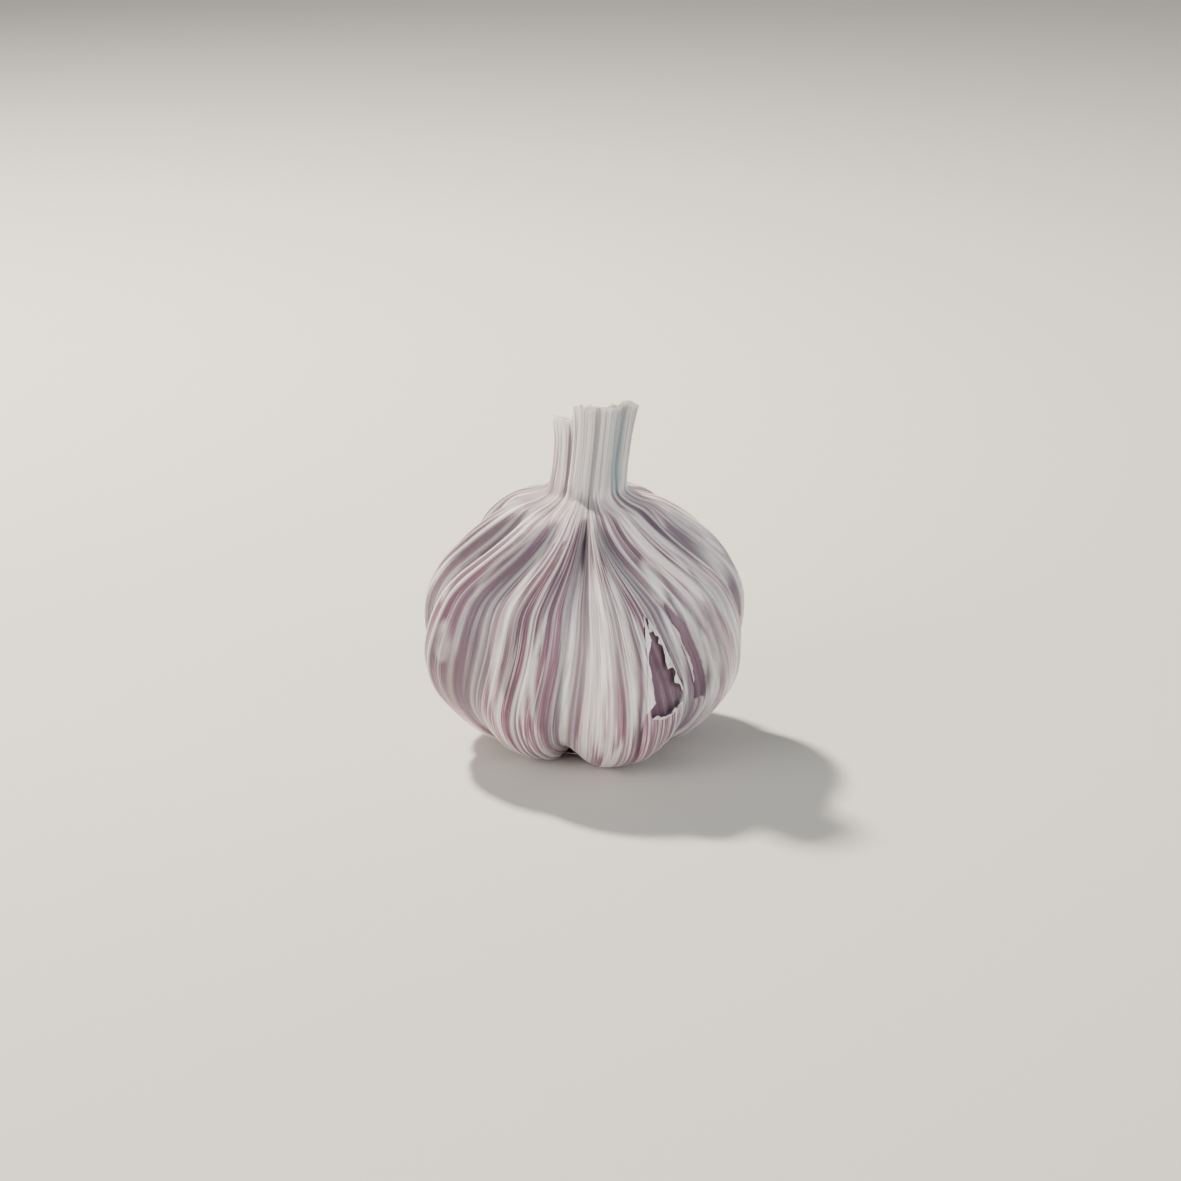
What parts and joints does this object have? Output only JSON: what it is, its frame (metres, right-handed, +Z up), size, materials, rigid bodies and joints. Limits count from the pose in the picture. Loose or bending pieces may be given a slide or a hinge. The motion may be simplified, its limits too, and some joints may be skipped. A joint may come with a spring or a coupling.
{
  "type": "garlic bulb",
  "caption": "Whole garlic bulb: ribbed papery skin streaked with purple over bulging cloves, a cut neck of rolled dry leaf sheaths, and a root plate with trimmed roots in the hollow underside.",
  "frame": {"origin": "on the surface that the bulb rests on, under the middle of its bounding box", "axes": "+Z up along the neck, -Y toward the front, +X to the front's right, the side the neck leans to"},
  "size_m": [0.0549, 0.0559, 0.0612],
  "materials": {
    "papery_skin": "satin papery skin with purple streaks",
    "dried_sheath": "dry matte papery sheath",
    "dried_roots": "dry fibrous matte"
  },
  "bodies": {
    "root": {"bulb": "papery_skin", "inner_sheaths": "dried_sheath", "root_plate": "dried_roots"}
  },
  "joints": []
}
